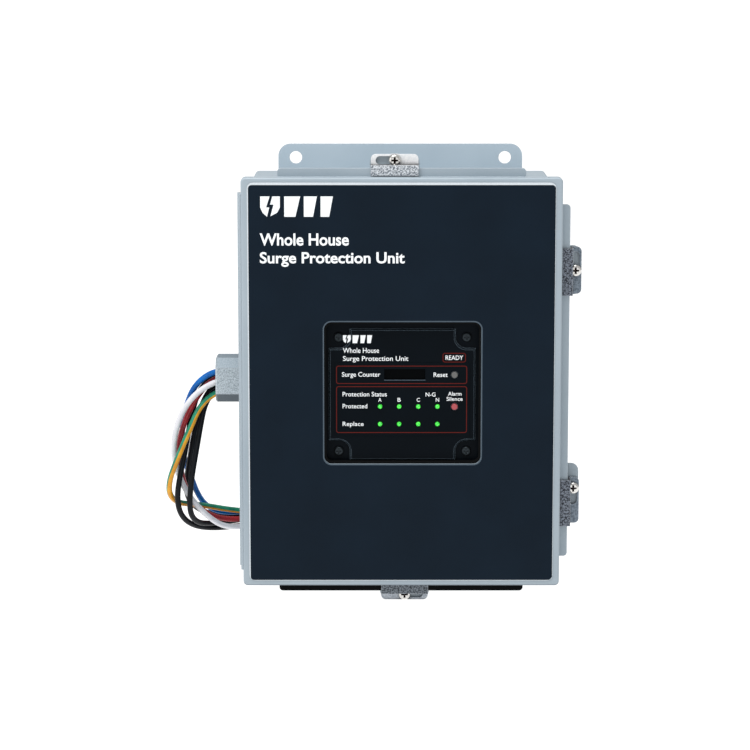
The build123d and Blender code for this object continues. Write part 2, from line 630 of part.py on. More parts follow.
DESCENT = (                     # X, then how far along in Y and in Z from the turn to the coil
    (-108.0, 0.0, 0.0),
    (-94.0, 0.42, 0.13),
    (-78.5, 0.72, 0.42),
    (-62.0, 0.9, 0.78),
    (-45.5, 1.0, 1.0),
)
COIL_BASE = FLOOR + TIE


def lead_route(name):
    """The corner points of one lead, from the hub's mouth to where it joins the coil."""
    y, z = BEHIND[name]
    outwards, above = STRANDS[name]
    aside = DESCENT[-1][0] - COIL_CENTRE[0]
    end_y = COIL_CENTRE[1] - sqrt((COIL_RADIUS + outwards) ** 2 - aside ** 2)
    end_z = COIL_BASE + above
    tail = [(x, y + (end_y - y) * part_y, z + (end_z - z) * part_z) for x, part_y, part_z in DESCENT]
    return [Vector(*point) for point in ROUTES[name] + tail]


def corner_radii(points):
    """For every inner corner, 0.45 of its shorter run over the tangent of half its turn."""
    radii = []
    for before, corner, after in zip(points, points[1:], points[2:]):
        run_in, run_out = corner - before, after - corner
        turn = radians(run_in.get_angle(run_out))
        radii.append(0.45 * min(run_in.length, run_out.length) / tan(turn / 2))
    return radii


for name in ROUTES:
    points = lead_route(name)
    radii = corner_radii(points)
    with BuildPart() as wire:
        with BuildLine() as route:
            FilletPolyline(*points, radius=radii)
        path = route.wire()
        with BuildSketch(Plane(origin=path @ 0, z_dir=(-1, 0, 0))) as wire_section:
            Circle(WIRE_RADIUS)
        sweep(wire_section.sketch, path=path)
    save(wire, f"wire_{name}")
    expected = pi * WIRE_RADIUS ** 2 * path.length
    print(f"wire_{name}: {path.length:.1f} mm to the coil, tightest bend {min(radii):.1f} mm, "
          f"volume {wire.part.volume / expected:.4f} of section times length")
    print("  radii " + " ".join(f"{radius:.1f}" for radius in radii))

# ---- the leads' spare length, wound into a ring and tied ------------------------------------------


def coil_plane(degrees):
    """An upright plane through the coil's axis, with X outwards and Y up."""
    turn = radians(degrees)
    return Plane(origin=(*COIL_CENTRE, COIL_BASE), x_dir=(cos(turn), sin(turn), 0),
                 z_dir=(sin(turn), -cos(turn), 0))


COIL_AXIS = Axis((*COIL_CENTRE, 0), (0, 0, 1))
with BuildPart() as wire_coil:
    with BuildSketch(coil_plane(0)) as coil_section:
        with Locations((COIL_RADIUS, COIL_HEIGHT / 2)):
            Rectangle(COIL_WIDTH, COIL_HEIGHT)
        chamfer(coil_section.vertices(), 2.0)
    revolve(coil_section.sketch, axis=COIL_AXIS)
save(wire_coil, "wire_coil")

with BuildPart() as coil_ties:
    for degrees in (0, 180):
        with BuildSketch(coil_plane(degrees - 2.5)) as tie_section:
            with Locations((COIL_RADIUS, COIL_HEIGHT / 2)):
                Rectangle(COIL_WIDTH + 2 * TIE, COIL_HEIGHT + 2 * TIE)
            chamfer(tie_section.vertices(), 2.5)
            with Locations((COIL_RADIUS, COIL_HEIGHT / 2)):
                with BuildSketch(mode=Mode.PRIVATE) as tie_hole:
                    Rectangle(COIL_WIDTH, COIL_HEIGHT)
                    chamfer(tie_hole.vertices(), 2.0)
                add(tie_hole.sketch, mode=Mode.SUBTRACT)
        revolve(tie_section.sketch, axis=COIL_AXIS, revolution_arc=5)
save(coil_ties, "coil_ties")
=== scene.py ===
"""The looks of a wall-mounted surge protective device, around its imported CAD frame.

Everything is in metres in the CAD's frame: +X right, +Y into the wall, +Z up, cover facing -Y.
"""
import json
import math

import bmesh
import bpy
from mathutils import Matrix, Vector


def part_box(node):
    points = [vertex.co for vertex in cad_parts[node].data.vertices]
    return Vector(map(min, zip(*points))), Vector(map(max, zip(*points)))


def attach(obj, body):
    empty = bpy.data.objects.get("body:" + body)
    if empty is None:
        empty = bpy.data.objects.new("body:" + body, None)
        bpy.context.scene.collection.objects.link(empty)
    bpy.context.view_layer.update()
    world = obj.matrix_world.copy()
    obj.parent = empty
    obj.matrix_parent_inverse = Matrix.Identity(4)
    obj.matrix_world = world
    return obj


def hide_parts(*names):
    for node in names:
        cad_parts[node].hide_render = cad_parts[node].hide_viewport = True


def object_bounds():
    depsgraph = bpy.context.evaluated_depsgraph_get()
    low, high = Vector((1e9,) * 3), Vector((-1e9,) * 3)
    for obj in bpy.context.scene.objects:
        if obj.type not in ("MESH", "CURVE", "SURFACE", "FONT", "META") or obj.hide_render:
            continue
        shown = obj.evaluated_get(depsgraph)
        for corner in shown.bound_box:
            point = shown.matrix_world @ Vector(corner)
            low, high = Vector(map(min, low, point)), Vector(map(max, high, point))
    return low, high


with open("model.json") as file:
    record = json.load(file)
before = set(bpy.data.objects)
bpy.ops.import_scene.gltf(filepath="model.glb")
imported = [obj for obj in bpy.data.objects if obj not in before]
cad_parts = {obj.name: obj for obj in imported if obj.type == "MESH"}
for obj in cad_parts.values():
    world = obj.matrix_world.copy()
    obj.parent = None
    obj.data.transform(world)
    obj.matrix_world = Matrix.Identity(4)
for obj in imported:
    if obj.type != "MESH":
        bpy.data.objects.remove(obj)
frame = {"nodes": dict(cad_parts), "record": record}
CAD_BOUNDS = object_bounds()
NODES = frame["nodes"]
FLOOR = CAD_BOUNDS[0].z

LABEL_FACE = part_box("cover_label")[0].y
OVERLAY_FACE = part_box("display_overlay")[0].y
PANEL_FACE = OVERLAY_FACE + 0.0003
INK = 0.00006                   # thickness of printed lettering
MM = 0.001


# ---- materials --------------------------------------------------------------------------
class Nodes:
    """A short way to write a material's node tree."""

    def __init__(self, name):
        self.material = bpy.data.materials.new(name)
        self.material.use_nodes = True
        self.tree = self.material.node_tree
        self.shader = self.tree.nodes["Principled BSDF"]
        self.coords = self.add("ShaderNodeTexCoord").outputs["Object"]

    def add(self, kind, inputs=None, **settings):
        node = self.tree.nodes.new(kind)
        for key, value in settings.items():
            setattr(node, key, value)
        for key, value in (inputs or {}).items():
            if isinstance(value, bpy.types.NodeSocket):
                self.tree.links.new(value, node.inputs[key])
            else:
                node.inputs[key].default_value = value
        return node

    def set(self, **values):
        for key, value in values.items():
            socket = self.shader.inputs[key.replace("_", " ")]
            if isinstance(value, bpy.types.NodeSocket):
                self.tree.links.new(value, socket)
            else:
                socket.default_value = value

    def noise(self, scale, detail=3.0, coords=None, roughness=0.5, stretch=None):
        """A noise of scale features per metre, stretched along each axis if asked."""
        coords = coords or self.coords
        if stretch:
            coords = self.add("ShaderNodeMapping", {"Vector": coords, "Scale": stretch}).outputs[0]
        node = self.add("ShaderNodeTexNoise",
                        {"Vector": coords, "Scale": scale, "Detail": detail, "Roughness": roughness})
        return node.outputs["Fac"]

    def spread(self, value, low, high, start=0.3, end=0.7):
        """A value from a noise, moved to run from low to high."""
        return self.add("ShaderNodeMapRange", {"Value": value, "From Min": start, "From Max": end,
                                               "To Min": low, "To Max": high}).outputs["Result"]

    def mix(self, factor, first, second):
        node = self.add("ShaderNodeMix", data_type="RGBA")
        colours = [socket for socket in node.inputs if socket.type == "RGBA"]
        for socket, value in ((node.inputs[0], factor), (colours[0], first), (colours[1], second)):
            if isinstance(value, bpy.types.NodeSocket):
                self.tree.links.new(value, socket)
            else:
                socket.default_value = value
        return next(socket for socket in node.outputs if socket.type == "RGBA")

    def bump(self, height, strength, distance, edge=0.0):
        """A bump, over edges that look rounded by a radius of edge."""
        inputs = {"Height": height, "Strength": strength, "Distance": distance}
        if edge:
            inputs["Normal"] = self.add("ShaderNodeBevel", {"Radius": edge}, samples=4).outputs[0]
        self.set(Normal=self.add("ShaderNodeBump", inputs).outputs[0])

    def painted_shade_below(self, level, steep):
        """A mask for painted shade: 0 on faces that look up or sideways, rising to 1 on those that look
        down.
        """
        normal = self.add("ShaderNodeNewGeometry").outputs["Normal"]
        height = self.add("ShaderNodeSeparateXYZ", {"Vector": normal}).outputs["Z"]
        return self.spread(height, 1.0, 0.0, level - steep, level - 0.1)

    def edge_mask(self, radius):
        """1 on sharp edges and 0 on flat stretches."""
        bevel = self.add("ShaderNodeBevel", {"Radius": radius}, samples=4).outputs[0]
        normal = self.add("ShaderNodeNewGeometry").outputs["Normal"]
        dot = self.add("ShaderNodeVectorMath", {0: bevel, 1: normal}, operation="DOT_PRODUCT")
        return self.spread(dot.outputs["Value"], 1.0, 0.0, 0.85, 0.995)


def rgb(red, green, blue):
    """A colour from 0-255 display values, as the shader wants it."""
    def linear(value):
        value /= 255
        return value / 12.92 if value <= 0.04045 else ((value + 0.055) / 1.055) ** 2.4
    return (linear(red), linear(green), linear(blue), 1.0)


def dulled(colour, part):
    """A colour with each channel multiplied by part, up to full strength."""
    return tuple(min(1.0, part * channel) for channel in colour[:3]) + (1.0,)


def painted_steel(name="painted_steel", shade_under_height=None, light_lift=1.0):
    """Powder coat: fine orange peel, faint clouding, and edges painted lighter: partly rubbed paint,
    partly a painted highlight.

    Below the height it is given it turns nearly black and loses its gloss: painted shade on the cover's
    lower lip, which sits in shadow.
    """
    n = Nodes(name)
    cloud = n.noise(14, 4)
    peel = n.noise(900, 2)
    # light_lift multiplies the paint colours; a lighter copy stands for more light falling there: painted
    # light
    base = n.mix(n.spread(cloud, 0, 1), rgb(150 * light_lift, 164 * light_lift, 174 * light_lift),
                 rgb(160 * light_lift, 173 * light_lift, 182 * light_lift))
    base = n.mix(n.spread(n.noise(2600, 1), 0, 0.12, 0.55, 0.75), base, rgb(205, 214, 220))
    # edges lighter: partly rubbed paint, partly a painted highlight
    base = n.mix(n.edge_mask(0.0009), base, rgb(188, 199, 207))
    # faces that look down are painted darker: painted shade
    base = n.mix(n.painted_shade_below(0.0, 0.5), base, rgb(116, 128, 138))
    gloss = 0.5
    if shade_under_height:
        height = n.add("ShaderNodeSeparateXYZ", {"Vector": n.coords}).outputs["Z"]
        start, end = shade_under_height - LIP_BLUR, shade_under_height + LIP_BLUR
        # nearly black below that height: painted shade on the lower lip
        base = n.mix(n.spread(height, 1, 0, start, end), base, rgb(4, 6, 8))
        gloss = n.spread(height, 0.05, 0.5, start, end)
    n.set(Base_Color=base, Roughness=n.spread(n.noise(60, 3), 0.34, 0.46), Specular_IOR_Level=gloss)
    n.bump(peel, 0.16, 0.00012, edge=0.0005)
    return n.material


def zinc(name, dark, light, roughness, scale=900, top_shade=0.0):
    """Zinc plate or cast zinc: fine crystalline speckle with small pits.

    Faces that look up are darkened by top_shade: painted shade.
    """
    n = Nodes(name)
    cells = n.add("ShaderNodeTexVoronoi", {"Vector": n.coords, "Scale": scale}).outputs["Color"]
    grey = n.add("ShaderNodeSeparateColor", {"Color": cells}).outputs[0]
    pits = n.noise(scale * 1.6, 3)
    speckle = n.mix(n.spread(pits, 0, 1, 0.38, 0.62), dark, light)
    base = n.mix(n.spread(grey, 0.0, 0.35, 0, 1), speckle, light)
    # edges lighter: painted highlight
    base = n.mix(n.edge_mask(0.0006), base, rgb(226, 230, 233))
    # faces that look down are painted darker: painted shade
    base = n.mix(n.painted_shade_below(0.0, 0.7), base, dulled(dark, 0.5))
    if top_shade:
        normal = n.add("ShaderNodeNewGeometry").outputs["Normal"]
        height = n.add("ShaderNodeSeparateXYZ", {"Vector": normal}).outputs["Z"]
        base = n.mix(n.spread(height, 0, top_shade, 0.2, 0.9), base, dark)
    n.set(Base_Color=base, Metallic=0.25, Roughness=n.spread(pits, roughness, roughness + 0.18))
    n.bump(pits, 0.3, 0.00012, edge=0.0004)
    return n.material


def clamp_zinc(name, hook, plate, roughness, metal=0.5):
    """A pressed clamp: coarse bright spangle on its hook, a bend painted dark as shade, and a smoother
    plate.

    hook and plate are each a darker and a lighter colour. Inner corners are darkened as painted shade.
    """
    n = Nodes(name)
    depth = n.add("ShaderNodeSeparateXYZ", {"Vector": n.coords}).outputs["Y"]
    spangle = n.noise(850, 3, roughness=0.7)
    fine = n.noise(800, 2)
    hook_colour = n.mix(n.spread(spangle, 0, 1, 0.43, 0.57), hook[0], hook[1])
    plate_colour = n.mix(n.spread(fine, 0, 1, 0.35, 0.65), plate[0], plate[1])
    bend_shade_mask = n.spread(depth, 0, 1, HOOK_BACK, HOOK_BACK + 0.0004)
    at_plate = n.spread(depth, 0, 1, PLATE_FRONT - 0.0004, PLATE_FRONT - 0.0001)
    # the leg and bend between hook and plate painted dark: painted shade
    base = n.mix(bend_shade_mask, hook_colour, rgb(70, 68, 68))
    base = n.mix(at_plate, base, plate_colour)
    # edges lighter: painted highlight
    base = n.mix(n.edge_mask(0.0004), base, rgb(222, 227, 232))
    # ambient occlusion darkens inner corners: painted shade
    corners = n.add("ShaderNodeAmbientOcclusion", {"Distance": 0.003}, samples=8).outputs["AO"]
    base = n.mix(n.spread(corners, 1, 0, 0.25, 0.8), base, rgb(30, 32, 36))
    n.set(Base_Color=base, Metallic=metal, Roughness=n.spread(spangle, roughness, roughness + 0.15))
    n.bump(spangle, 0.3, 0.0001, edge=0.0003)
    return n.material


def bright_metal(name, colour, roughness, recess_behind=None):
    """A plated screw: turned finish with faint rings and scuffs.

    Flat faces behind the depth recess_behind are dark: painted shade on the floor of the cross recess.
    """
    n = Nodes(name)
    scuffs = n.noise(1500, 4, stretch=(1, 6, 1))
    base = n.mix(n.spread(scuffs, 0, 0.5), colour, dulled(colour, 0.6))
    if recess_behind:
        depth = n.add("ShaderNodeSeparateXYZ", {"Vector": n.coords}).outputs["Y"]
        inside = n.spread(depth, 0, 1, recess_behind, recess_behind + 0.0003)
        facing = n.add("ShaderNodeSeparateXYZ",
                       {"Vector": n.add("ShaderNodeNewGeometry").outputs["Normal"]}).outputs["Y"]
        flat = n.spread(facing, 1, 0, -0.98, -0.9)
        both = n.add("ShaderNodeMath", {0: inside, 1: flat}, operation="MULTIPLY").outputs[0]
        # dark recess floor: painted shade
        base = n.mix(both, base, rgb(22, 18, 16))
    n.set(Base_Color=base, Metallic=1.0, Roughness=n.spread(scuffs, roughness, roughness + 0.12))
    n.bump(scuffs, 0.1, 0.00005, edge=0.0003)
    return n.material


def moulded(name, low, high, roughness, grain=1800, bump=0.15, highlight_colour=None, edge=0.0004,
            gloss=0.4):
    """Moulded plastic or film with an even fine grain; edges get a painted highlight where asked."""
    n = Nodes(name)
    grains = n.noise(grain, 2)
    base = n.mix(n.spread(n.noise(grain / 60, 3), 0, 1), low, high)
    base = n.mix(n.spread(grains, 0, 0.16, 0.5, 0.75), base, dulled(high, 1.7))
    if highlight_colour:
        # edges lighter: painted highlight
        base = n.mix(n.edge_mask(edge * 1.4), base, highlight_colour)
    n.set(Base_Color=base, Roughness=n.spread(grains, roughness - 0.05, roughness + 0.08),
          Specular_IOR_Level=gloss)
    n.bump(grains, bump, 0.0001, edge=edge)
    return n.material


def lens_green():
    """A lit lamp: clouded bright green that glows a little."""
    n = Nodes("green_lens")
    glow = n.spread(n.noise(900, 2), 0, 1)
    n.set(Base_Color=n.mix(glow, rgb(20, 150, 60), rgb(70, 240, 80)), Roughness=0.18,
          Emission_Color=n.mix(glow, rgb(10, 170, 50), rgb(110, 255, 60)), Emission_Strength=0.55,
          Coat_Weight=0.6)
    return n.material


def insulation(name, colour, shade, roughness=0.26, gloss=0.35):
    """Glossy thermoplastic wire insulation, faintly wavy along its length."""
    n = Nodes(name)
    wave = n.noise(120, 3)
    fine = n.noise(1400, 2)
    n.set(Base_Color=n.mix(n.spread(wave, 0, 1), colour, shade),
          Roughness=n.spread(fine, roughness - 0.05, roughness + 0.1), Specular_IOR_Level=gloss,
          Coat_Weight=gloss * 0.4, Coat_Roughness=0.12)
    n.bump(fine, 0.08, 0.00006)
    return n.material


def circuit_board():
    """Green solder mask with a faint grid of tracks."""
    n = Nodes("circuit_board")
    tracks = n.add("ShaderNodeTexBrick", {"Vector": n.coords, "Scale": 160.0, "Mortar Size": 0.03,
                                          "Color1": rgb(12, 72, 40), "Color2": rgb(16, 88, 48),
                                          "Mortar": rgb(40, 120, 70)}).outputs["Color"]
    n.set(Base_Color=tracks, Roughness=n.spread(n.noise(500, 2), 0.28, 0.4), Coat_Weight=0.3)
    n.bump(n.noise(900, 2), 0.1, 0.0001)
    return n.material


def copper():
    """The cut end of a conductor."""
    n = Nodes("copper")
    n.set(Base_Color=n.mix(n.spread(n.noise(2500, 2), 0, 1), rgb(184, 98, 58), rgb(222, 146, 96)),
          Metallic=1.0, Roughness=0.32)
    n.bump(n.noise(3000, 2), 0.3, 0.0001)
    return n.material


def ink(name, colour, glow=0.0):
    """Screen-printed ink, a little uneven; a glow, where given, is painted light, and the same finish
    serves the strips of painted highlight and painted shade.
    """
    n = Nodes(name)
    uneven = n.noise(1600, 2)
    n.set(Base_Color=n.mix(n.spread(uneven, 0, 1), colour, dulled(colour, 0.86)),
          Roughness=n.spread(uneven, 0.45, 0.6), Specular_IOR_Level=0.15)
    # printed ink does not glow: this emission is painted light
    if glow:
        n.set(Emission_Color=colour, Emission_Strength=glow)
    n.bump(uneven, 0.1, 0.00004)
    return n.material


CLAMP_SHEET = 0.0016
HOOK_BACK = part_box("clamp_top")[0].y + CLAMP_SHEET
PLATE_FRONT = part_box("clamp_top")[1].y - CLAMP_SHEET
RECESS_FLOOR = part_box("clamp_screw_top")[0].y + 0.0007
LIP_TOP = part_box("cover_gasket")[0].z - 0.0024
LIP_BLUR = 0.0002
MATERIALS = {
    "painted_steel": painted_steel(),
    "zinc_plate": zinc("zinc_plate", rgb(88, 94, 104), rgb(212, 217, 223), 0.3),
    # the four clamps are one part in lit and shaded copies: the top one bright with a near-white plate as
    # lit from above, the bottom and side ones darker as in shade
    "zinc_lit_top": clamp_zinc("zinc_lit_top", (rgb(96, 104, 114), rgb(222, 226, 230)),
                           (rgb(238, 241, 244), rgb(252, 253, 254)), 0.35, metal=0.1),
    "zinc_shaded_bottom": clamp_zinc("zinc_shaded_bottom", (rgb(40, 46, 52), rgb(120, 128, 136)),
                           (rgb(150, 158, 168), rgb(186, 193, 201)), 0.35),
    "zinc_shaded_side": clamp_zinc("zinc_shaded_side", (rgb(16, 20, 30), rgb(128, 136, 148)),
                            (rgb(92, 104, 116), rgb(134, 146, 158)), 0.38),
    # cast zinc with its upward faces darkened: painted shade
    "cast_zinc": zinc("cast_zinc", rgb(126, 139, 148), rgb(202, 212, 218), 0.5, scale=800,
                      top_shade=1.0),
    "bright_screw": bright_metal("bright_screw", rgb(228, 226, 222), 0.16, recess_behind=RECESS_FLOOR),
    "dark_screw": bright_metal("dark_screw", rgb(52, 58, 62), 0.35),
    # label film with its edges lighter: painted highlight
    "label_film": moulded("label_film", rgb(8, 22, 34), rgb(11, 26, 39), 0.5, grain=1500, bump=0.22,
                          highlight_colour=rgb(60, 76, 88), edge=0.0003, gloss=0.1),
    "gasket_rubber": moulded("gasket_rubber", rgb(6, 7, 8), rgb(11, 12, 13), 0.75, grain=1300, bump=0.4,
                             gloss=0.1),
    # module case with its edges lighter: painted highlight
    "module_case": moulded("module_case", rgb(3, 9, 15), rgb(4, 11, 18), 0.42, grain=2200,
                           highlight_colour=rgb(112, 128, 140), edge=0.0005, gloss=0.06),
    "overlay_film": moulded("overlay_film", rgb(3, 9, 15), rgb(4, 12, 19), 0.5, grain=2600, bump=0.06,
                            gloss=0.06),
    "counter_lcd": moulded("counter_lcd", rgb(1, 2, 3), rgb(2, 4, 6), 0.3, grain=600, bump=0.02,
                           gloss=0.03),
    "green_lens": lens_green(),
    "grey_key": moulded("grey_key", rgb(92, 92, 92), rgb(110, 110, 108), 0.45),
    "red_key": moulded("red_key", rgb(158, 66, 72), rgb(180, 82, 88), 0.4),
    "circuit_board": circuit_board(),
    "varistor_epoxy": moulded("varistor_epoxy", rgb(24, 52, 122), rgb(30, 66, 146), 0.35, grain=700,
                              bump=0.3),
    "black_nylon": moulded("black_nylon", rgb(20, 21, 23), rgb(28, 29, 31), 0.4),
    "wire_blue": insulation("wire_blue", rgb(0, 108, 190), rgb(0, 84, 160), gloss=0.22),
    "wire_red": insulation("wire_red", rgb(176, 32, 44), rgb(128, 16, 28)),
    "wire_white": insulation("wire_white", rgb(232, 232, 236), rgb(214, 214, 220)),
    "wire_black": insulation("wire_black", rgb(8, 14, 22), rgb(3, 6, 11), roughness=0.32, gloss=0.12),
    "wire_green": insulation("wire_green", rgb(24, 148, 112), rgb(10, 108, 82)),
    "wire_yellow": insulation("wire_yellow", rgb(232, 168, 28), rgb(206, 138, 12)),
    "copper": copper(),
    # white print given a slight glow: painted light
    "white_ink": ink("white_ink", rgb(244, 248, 250), glow=0.12),
    "red_ink": ink("red_ink", rgb(100, 20, 8)),
    # near-white strips: painted highlight
    "highlight_paint": ink("highlight_paint", rgb(214, 222, 228)),
    # grey strips: painted shade round the window, painted highlight under the counter
    "shade_and_highlight_grey": ink("shade_and_highlight_grey", rgb(84, 98, 110)),
}
MATERIALS["wire_mixed"] = MATERIALS["wire_black"]
# the cover's steel, with painted shade on its lower lip
MATERIALS["cover_steel"] = painted_steel("cover_steel", shade_under_height=LIP_TOP)
# a lighter copy of the painted steel for the top foot: painted light
MATERIALS["foot_steel_lit"] = painted_steel("foot_steel_lit", light_lift=1.14)
# nodes whose look differs from their material slot's; the foot and the clamps get lit and shaded copies
# of one material: painted light
PER_NODE = {"cover": "cover_steel", "mounting_foot_top": "foot_steel_lit", "clamp_top": "zinc_lit_top",
            "clamp_bottom": "zinc_shaded_bottom", "clamp_right_upper": "zinc_shaded_side",
            "clamp_right_lower": "zinc_shaded_side"}

for entry in frame["record"]["subparts"]:
    node = NODES[entry["node"]]
    node.data.materials.clear()
    node.data.materials.append(MATERIALS[PER_NODE.get(entry["node"], entry["material_slot"])])


# ---- mesh helpers -----------------------------------------------------------------------
def finish_piece(obj, body, material, smooth=False):
    """Puts a new piece in the scene with its material, body and finish."""
    if obj.name not in bpy.context.scene.collection.objects:
        bpy.context.scene.collection.objects.link(obj)
    obj.data.materials.clear()
    obj.data.materials.append(MATERIALS[material])
    if smooth:
        for face in obj.data.polygons:
            face.use_smooth = True
    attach(obj, body)
    return obj


def mesh_piece(name, build, body, material, smooth=False):
    """A piece whose mesh is made by build, a function that fills a bmesh."""
    mesh = bpy.data.meshes.new(name)
    shape = bmesh.new()
    build(shape)
    bmesh.ops.recalc_face_normals(shape, faces=shape.faces)
    shape.to_mesh(mesh)
    shape.free()
    return finish_piece(bpy.data.objects.new(name, mesh), body, material, smooth)


def rounded_outline(left, right, low, high, corner, steps=6):
    """The points of a rounded rectangle in X and Z, anticlockwise from the lower right corner."""
    points = []
    for number, (x, z) in enumerate(((right - corner, low + corner), (right - corner, high - corner),
                                     (left + corner, high - corner), (left + corner, low + corner))):
        for step in range(steps + 1):
            angle = math.radians(90 * (number - 1) + 90 * step / steps)
            points.append((x + corner * math.cos(angle), z + corner * math.sin(angle)))
    return points


def frame_ring(shape, box, corner, widths, back, thickness):
    """A closed flat ring round a box of (left, right, low, high), standing out from depth back."""
    left, right, low, high = box
    outer = rounded_outline(left, right, low, high, corner)
    inner = rounded_outline(left + widths[0], right - widths[1], low + widths[2], high - widths[3],
                            max(corner - max(widths), corner / 4))
    loops = []
    front = back - thickness
    for outline, depth in ((outer, back), (outer, front), (inner, front), (inner, back)):
        loops.append([shape.verts.new((x, depth, z)) for x, z in outline])
    count = len(outer)
    for first, second in zip(loops, loops[1:] + loops[:1]):
        for i in range(count):
            j = (i + 1) % count
            shape.faces.new((first[i], first[j], second[j], second[i]))


def outline_piece(name, box, corner, widths, face, body, material, thickness=INK):
    """A printed outline, or an outline of painted highlight or painted shade, on a face that looks along
    -Y.

    widths gives its width on the left, right, lower and upper side.
    """
    def build(shape):
        frame_ring(shape, box, corner, widths, face, thickness)
    return mesh_piece(name, build, body, material)


def lettering(name, text, box, face, body, material="white_ink", bold=0.0):
    """Thin raised lettering, fitted into a box of (left, right, low, high) on a face along -Y."""
    left, right, low, high = box
    curve = bpy.data.curves.new(name, "FONT")
    curve.body = text
    curve.size = 1.0
    curve.extrude = 0.01
    curve.offset = bold
    curve.resolution_u = 4
    text_object = bpy.data.objects.new(name + "_text", curve)
    bpy.context.scene.collection.objects.link(text_object)
    bpy.context.view_layer.update()
    graph = bpy.context.evaluated_depsgraph_get()
    mesh = bpy.data.meshes.new_from_object(text_object.evaluated_get(graph))
    bpy.data.objects.remove(text_object)
    xs = [v.co.x for v in mesh.vertices]
    ys = [v.co.y for v in mesh.vertices]
    zs = [v.co.z for v in mesh.vertices]
    across = (right - left) / (max(xs) - min(xs))
    up = (high - low) / (max(ys) - min(ys))
    for vertex in mesh.vertices:
        x, y, z = vertex.co
        depth = (z - min(zs)) / (max(zs) - min(zs)) * INK
        vertex.co = (left + (x - min(xs)) * across, face - depth, low + (y - min(ys)) * up)
    shape = bmesh.new()
    shape.from_mesh(mesh)
    bmesh.ops.remove_doubles(shape, verts=shape.verts, dist=1e-7)
    bmesh.ops.recalc_face_normals(shape, faces=shape.faces)
    shape.to_mesh(mesh)
    shape.free()
    mesh.name = name
    return finish_piece(bpy.data.objects.new(name, mesh), body, material)


def prism(shape, outline, back, front):
    """A closed flat plate between two depths, from an outline of X and Z points."""
    rear = [shape.verts.new((x, back, z)) for x, z in outline]
    fore = [shape.verts.new((x, front, z)) for x, z in outline]
    shape.faces.new(fore)
    shape.faces.new(rear[::-1])
    for i in range(len(outline)):
        j = (i + 1) % len(outline)
        shape.faces.new((fore[i], fore[j], rear[j], rear[i]))


def emblem(name, box, face, body):
    """A plain made-up sign: a shield cut by a surge, beside three bars that fade."""
    left, right, low, high = box
    width, height = right - left, high - low

    def place(points, x0, x1):
        return [(left + width * (x0 + (x1 - x0) * u), low + height * v) for u, v in points]

    shield_left = [(0.0, 1.0), (0.0, 0.45), (0.12, 0.2), (0.34, 0.0), (0.46, 0.46), (0.3, 0.46),
                   (0.48, 1.0)]
    shield_right = [(0.62, 1.0), (0.5, 0.6), (0.68, 0.6), (0.52, 0.03), (0.86, 0.2), (1.0, 0.45),
                    (1.0, 1.0)]
    bar = [(0.0, 1.0), (0.0, 0.0), (0.7, 0.0), (1.0, 1.0)]

    def build(shape):
        for outline in (place(shield_left, 0.0, 0.27), place(shield_right, 0.0, 0.27),
                        place(bar, 0.33, 0.55), place(bar, 0.6, 0.78), place(bar, 0.83, 1.0)):
            prism(shape, outline, face, face - INK)
    return mesh_piece(name, build, body, "white_ink")


def millimetres(*values):
    return tuple(value * MM for value in values)


# ---- print on the cover and on the display ------------------------------------------------
COVER_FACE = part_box("cover")[0].y
LABEL_CORNER = 4.0 * MM
# widths of the label's ring of painted highlight, widest at the top and left where light falls
LABEL_HIGHLIGHT_WIDTHS = millimetres(0.8, 0.25, 0.35, 1.7)
WINDOW_BOX = millimetres(-52.5, 53.9, -55.0, 42.6)
WINDOW_CORNER = 5.8 * MM
WINDOW_EDGE = millimetres(0.8, 0.8, 0.8, 0.8)
WINDOW_EDGE_RISE = 0.15 * MM
RED_BOX_CORNER = 1.6 * MM
RED_BOX_LINE = millimetres(0.5, 0.5, 0.5, 0.5)

label_low, label_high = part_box("cover_label")
label_box = (label_low.x, label_high.x, label_low.z, label_high.z)
# a near-white ring round the label's edge: painted highlight
outline_piece("label_edge_highlight", label_box, LABEL_CORNER, LABEL_HIGHLIGHT_WIDTHS, LABEL_FACE, "cover",
              "highlight_paint")
# a mid-grey ring over the window's cut edge, which lies in shade: painted shade
outline_piece("window_edge_shade", WINDOW_BOX, WINDOW_CORNER, WINDOW_EDGE, COVER_FACE, "cover",
              "shade_and_highlight_grey", thickness=WINDOW_EDGE_RISE)
emblem("cover_emblem", millimetres(-93.5, -45.5, 112.1, 125.6), LABEL_FACE, "cover")

# Each print's name, words and box of left, right, low and high in millimetres.
COVER_TEXT = [
    ("cover_title_1", "Whole House", (-94.0, -35.0, 92.9, 101.1)),
    ("cover_title_2", "Surge Protection Unit", (-94.0, 2.0, 78.8, 88.7)),
]
for label, words, box in COVER_TEXT:
    lettering(label, words, millimetres(*box), LABEL_FACE, "cover", bold=0.022)

